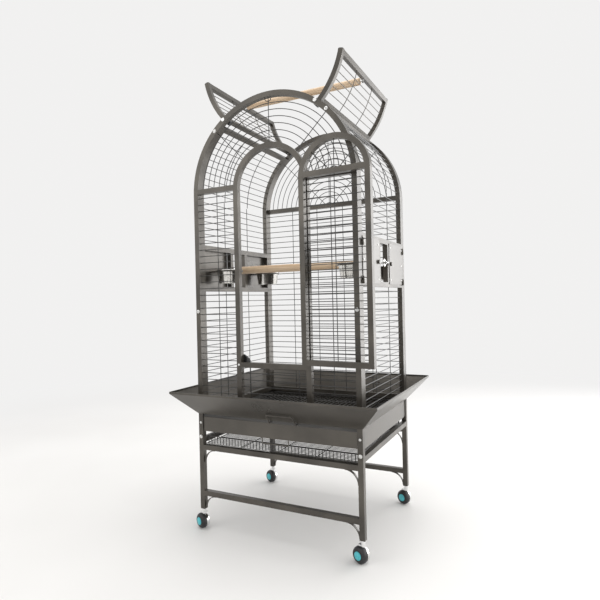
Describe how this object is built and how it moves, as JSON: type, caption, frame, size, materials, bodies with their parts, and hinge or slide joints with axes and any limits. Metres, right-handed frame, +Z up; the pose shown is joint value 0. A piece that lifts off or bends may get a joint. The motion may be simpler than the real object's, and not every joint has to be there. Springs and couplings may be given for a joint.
{
  "type": "bird cage on stand",
  "caption": "Wheeled play-top wire bird cage with an arched roof whose two halves open, a domed front door, swing-out feeders, seed aprons, tray and shelf stand.",
  "frame": {"origin": "on the floor, under the middle of the cage", "axes": "+Z up, +X to the right as seen from the front, -Y towards the front with the main door"},
  "size_m": [0.862, 0.742, 1.8031],
  "materials": {
    "powder_coat": "semi-gloss pewter powder coat",
    "wood": "plain hardwood, lightly sanded",
    "zinc": "bright zinc plate",
    "chrome": "polished",
    "stainless": "polished stainless",
    "black_nylon": "matt",
    "black_plastic": "gloss"
  },
  "bodies": {
    "cage": {"apron_front": "powder_coat", "apron_left": "powder_coat", "apron_rear": "powder_coat", "apron_right": "powder_coat", "base_plates": "powder_coat", "corner_braces": "powder_coat", "doorway_frame": "powder_coat", "feeder_pins": "powder_coat", "front_arch": "powder_coat", "front_rails": "powder_coat", "front_sunburst": "powder_coat", "front_wires": "powder_coat", "hinge_pins": "powder_coat", "inner_perch": "wood", "inner_perch_bolts": "zinc", "leg_front_left": "powder_coat", "leg_front_right": "powder_coat", "leg_rear_left": "powder_coat", "leg_rear_right": "powder_coat", "panel_bolts": "zinc", "rear_arch": "powder_coat", "rear_rails": "powder_coat", "rear_sunburst": "powder_coat", "rear_wires": "powder_coat", "side_frame_left": "powder_coat", "side_frame_right": "powder_coat", "side_rails": "powder_coat", "side_wires_left": "powder_coat", "side_wires_right": "powder_coat", "stand_crossbars": "powder_coat", "storage_shelf": "powder_coat", "tray_runners": "powder_coat", "wing_pivots": "zinc"},
    "caster_front_left": {"caster_mount_front_left": "chrome"},
    "wheel_front_left": {"caster_wheel_front_left": "black_nylon"},
    "feeder_front_left": {"feeder_door_front_left": "powder_coat"},
    "cup_front_left": {"cup_front_left": "stainless"},
    "caster_front_right": {"caster_mount_front_right": "chrome"},
    "wheel_front_right": {"caster_wheel_front_right": "black_nylon"},
    "feeder_front_right": {"feeder_door_front_right": "powder_coat"},
    "cup_front_right": {"cup_front_right": "stainless"},
    "caster_rear_left": {"caster_mount_rear_left": "chrome"},
    "wheel_rear_left": {"caster_wheel_rear_left": "black_nylon"},
    "feeder_rear_left": {"feeder_door_rear_left": "powder_coat"},
    "cup_rear_left": {"cup_rear_left": "stainless"},
    "caster_rear_right": {"caster_mount_rear_right": "chrome"},
    "wheel_rear_right": {"caster_wheel_rear_right": "black_nylon"},
    "feeder_rear_right": {"feeder_door_rear_right": "powder_coat"},
    "cup_rear_right": {"cup_rear_right": "stainless"},
    "tray_drawer": {"tray": "powder_coat"},
    "grate_drawer": {"grate": "powder_coat", "grate_handle": "powder_coat"},
    "main_door": {"main_door_frame": "powder_coat", "main_door_wires": "powder_coat"},
    "catch": {"door_catch": "black_plastic"},
    "wing_left": {"wing_left": "powder_coat", "perch_bolt_left": "zinc"},
    "wing_right": {"wing_right": "powder_coat", "perch_bolt_right": "zinc"},
    "top_perch": {"top_perch": "wood"}
  },
  "joints": [
    {"name": "main_door_swing", "type": "hinge", "parent": "cage", "child": "main_door", "pos_m": [0.139, -0.2945, 0.93], "axis": [0, 0, 1], "range_deg": [-176, 2]},
    {"name": "catch_turn", "type": "hinge", "parent": "cage", "child": "catch", "pos_m": [-0.15, -0.2665, 0.671], "axis": [0, -1, 0], "range_deg": [0, 75]},
    {"name": "wing_left_swing", "type": "hinge", "parent": "cage", "child": "wing_left", "pos_m": [-0.19811, 0, 1.62877], "axis": [0, 1, 0], "range_deg": [0, 100.4]},
    {"name": "wing_right_swing", "type": "hinge", "parent": "cage", "child": "wing_right", "pos_m": [0.19811, 0, 1.62877], "axis": [0, -1, 0], "range_deg": [0, 100.4]},
    {"name": "top_perch_lift", "type": "slide", "parent": "cage", "child": "top_perch", "axis": [0, 0, 1], "range_m": [0, 0.98]},
    {"name": "tray_slide", "type": "slide", "parent": "cage", "child": "tray_drawer", "axis": [0, -1, 0], "range_m": [0, 0.5]},
    {"name": "grate_slide", "type": "slide", "parent": "cage", "child": "grate_drawer", "axis": [0, -1, 0], "range_m": [0, 0.5]},
    {"name": "feeder_front_left_swing", "type": "hinge", "parent": "cage", "child": "feeder_front_left", "pos_m": [-0.3545, -0.256, 1.05], "axis": [0, 0, 1], "range_deg": [0, 95]},
    {"name": "cup_front_left_lift", "type": "slide", "parent": "feeder_front_left", "child": "cup_front_left", "axis": [0, 0, 1], "range_m": [0, 0.07]},
    {"name": "caster_front_left_swivel", "type": "hinge", "parent": "cage", "child": "caster_front_left", "pos_m": [-0.34, -0.28, 0.09], "axis": [0, 0, 1], "continuous": true},
    {"name": "wheel_front_left_spin", "type": "hinge", "parent": "caster_front_left", "child": "wheel_front_left", "pos_m": [-0.34927, -0.27625, 0.03], "axis": [-0.3746, -0.9272, 0], "continuous": true},
    {"name": "feeder_front_right_swing", "type": "hinge", "parent": "cage", "child": "feeder_front_right", "pos_m": [0.3545, -0.256, 1.05], "axis": [0, 0, -1], "range_deg": [0, 95]},
    {"name": "cup_front_right_lift", "type": "slide", "parent": "feeder_front_right", "child": "cup_front_right", "axis": [0, 0, 1], "range_m": [0, 0.07]},
    {"name": "caster_front_right_swivel", "type": "hinge", "parent": "cage", "child": "caster_front_right", "pos_m": [0.34, -0.28, 0.09], "axis": [0, 0, 1], "continuous": true},
    {"name": "wheel_front_right_spin", "type": "hinge", "parent": "caster_front_right", "child": "wheel_front_right", "pos_m": [0.33073, -0.27625, 0.03], "axis": [-0.3746, -0.9272, 0], "continuous": true},
    {"name": "feeder_rear_left_swing", "type": "hinge", "parent": "cage", "child": "feeder_rear_left", "pos_m": [-0.3545, 0.256, 1.05], "axis": [0, 0, -1], "range_deg": [0, 95]},
    {"name": "cup_rear_left_lift", "type": "slide", "parent": "feeder_rear_left", "child": "cup_rear_left", "axis": [0, 0, 1], "range_m": [0, 0.07]},
    {"name": "caster_rear_left_swivel", "type": "hinge", "parent": "cage", "child": "caster_rear_left", "pos_m": [-0.34, 0.28, 0.09], "axis": [0, 0, 1], "continuous": true},
    {"name": "wheel_rear_left_spin", "type": "hinge", "parent": "caster_rear_left", "child": "wheel_rear_left", "pos_m": [-0.34927, 0.28375, 0.03], "axis": [-0.3746, -0.9272, 0], "continuous": true},
    {"name": "feeder_rear_right_swing", "type": "hinge", "parent": "cage", "child": "feeder_rear_right", "pos_m": [0.3545, 0.256, 1.05], "axis": [0, 0, 1], "range_deg": [0, 95]},
    {"name": "cup_rear_right_lift", "type": "slide", "parent": "feeder_rear_right", "child": "cup_rear_right", "axis": [0, 0, 1], "range_m": [0, 0.07]},
    {"name": "caster_rear_right_swivel", "type": "hinge", "parent": "cage", "child": "caster_rear_right", "pos_m": [0.34, 0.28, 0.09], "axis": [0, 0, 1], "continuous": true},
    {"name": "wheel_rear_right_spin", "type": "hinge", "parent": "caster_rear_right", "child": "wheel_rear_right", "pos_m": [0.33073, 0.28375, 0.03], "axis": [-0.3746, -0.9272, 0], "continuous": true}
  ],
  "couplings": [
    {"joint": "wing_right_swing", "follows": "wing_left_swing", "ratio": 1},
    {"joint": "top_perch_lift", "follows": "wing_left_swing", "m_per_rad": 0.55}
  ]
}
